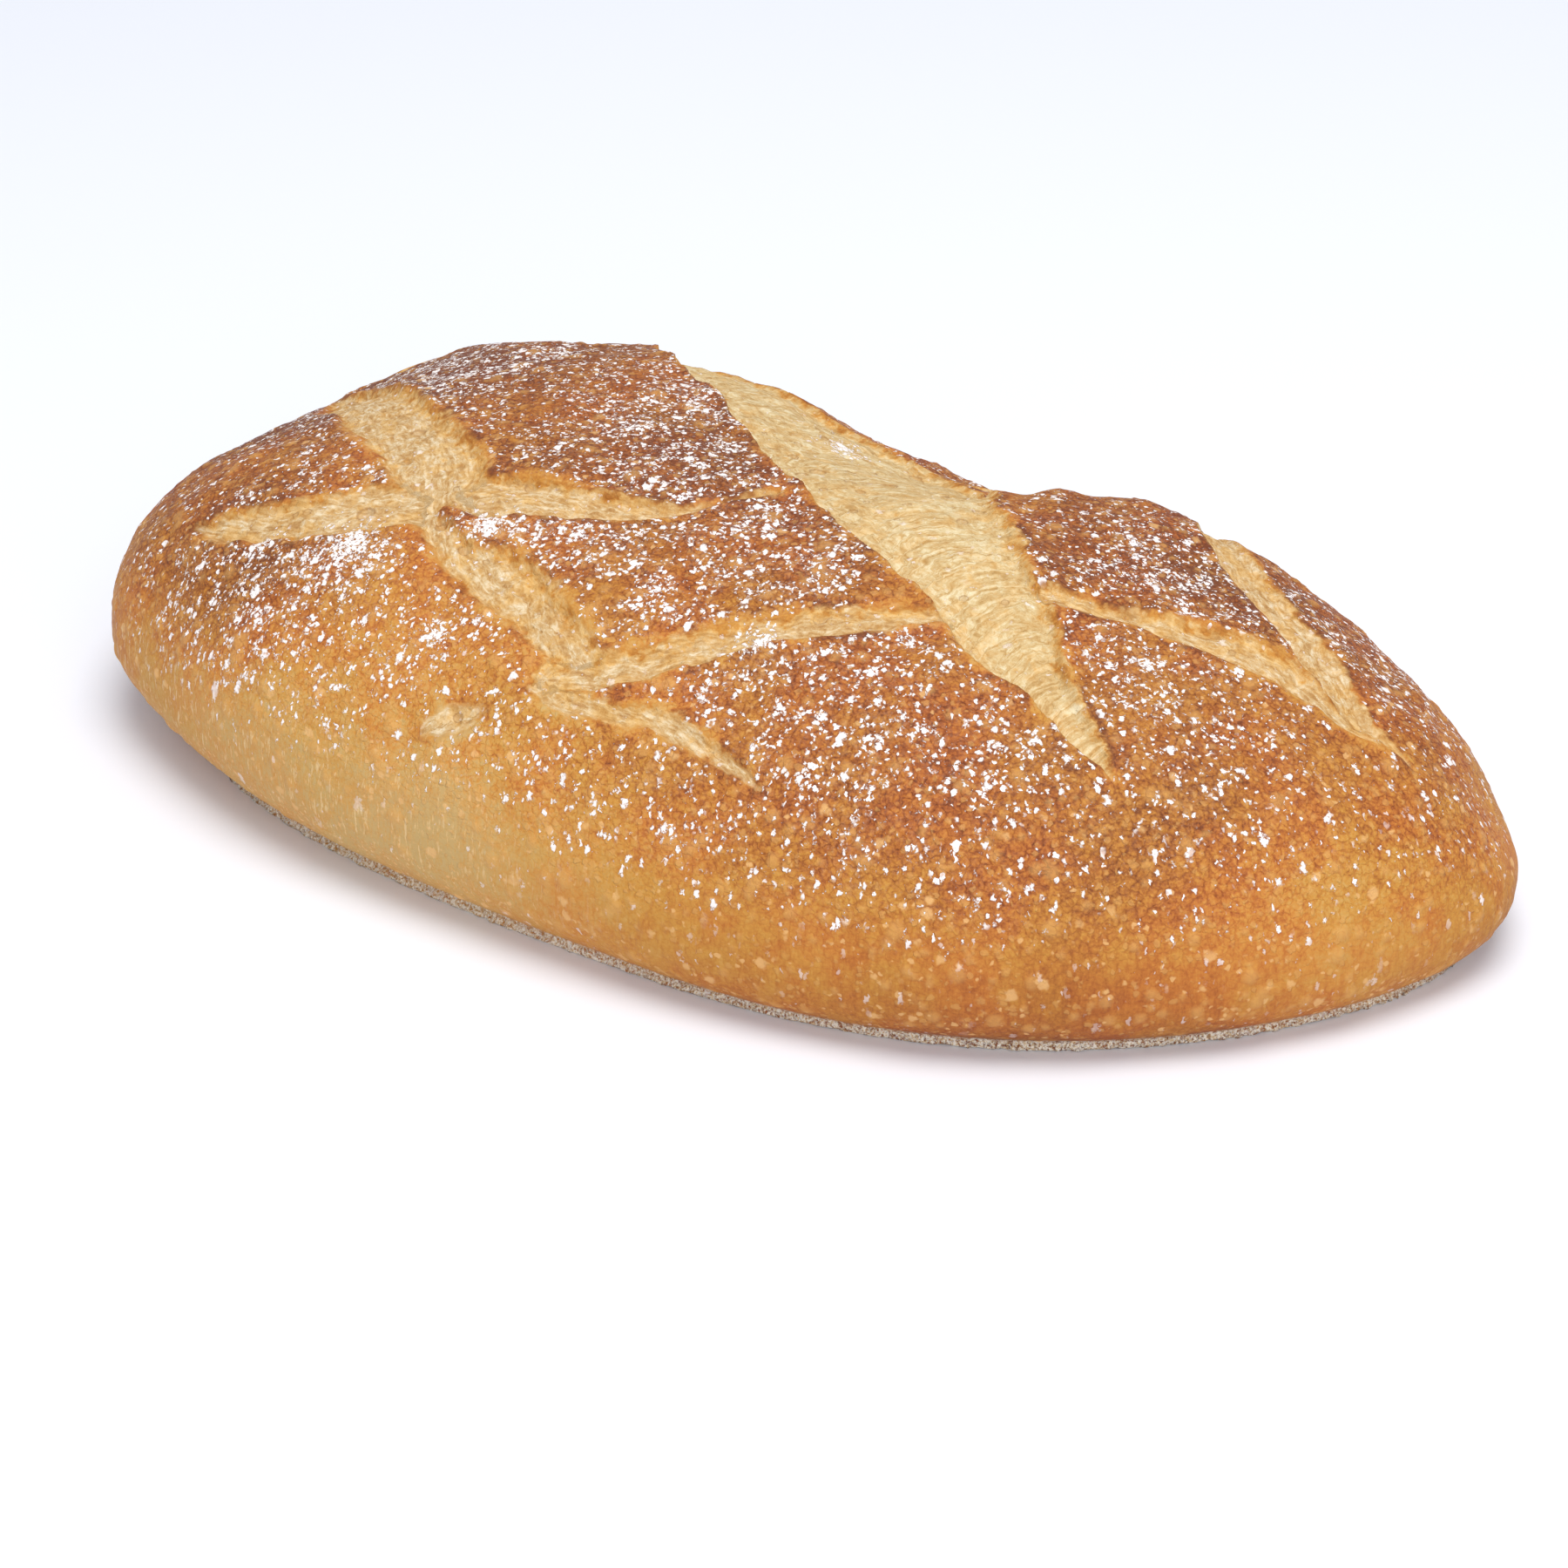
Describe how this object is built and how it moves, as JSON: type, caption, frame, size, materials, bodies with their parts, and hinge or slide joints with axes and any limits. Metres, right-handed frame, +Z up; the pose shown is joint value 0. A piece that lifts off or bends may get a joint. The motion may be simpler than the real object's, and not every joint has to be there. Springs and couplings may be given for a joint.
{
  "type": "loaf of bread",
  "caption": "Whole crusty white loaf, long and low with rounded ends, scored in a lattice of open cuts, flour-dusted, resting on a flat base",
  "frame": {"origin": "centre of the bounding box in plan, on the flat base the loaf rests on", "axes": "+X along the length of the loaf towards its narrower, lower end, +Y across it, +Z up"},
  "size_m": [0.3236, 0.1842, 0.0736],
  "materials": {
    "crust": "baked crust, golden brown, matt with a faint dry sheen, dusted with flour"
  },
  "bodies": {
    "root": {"loaf": "crust"}
  },
  "joints": []
}
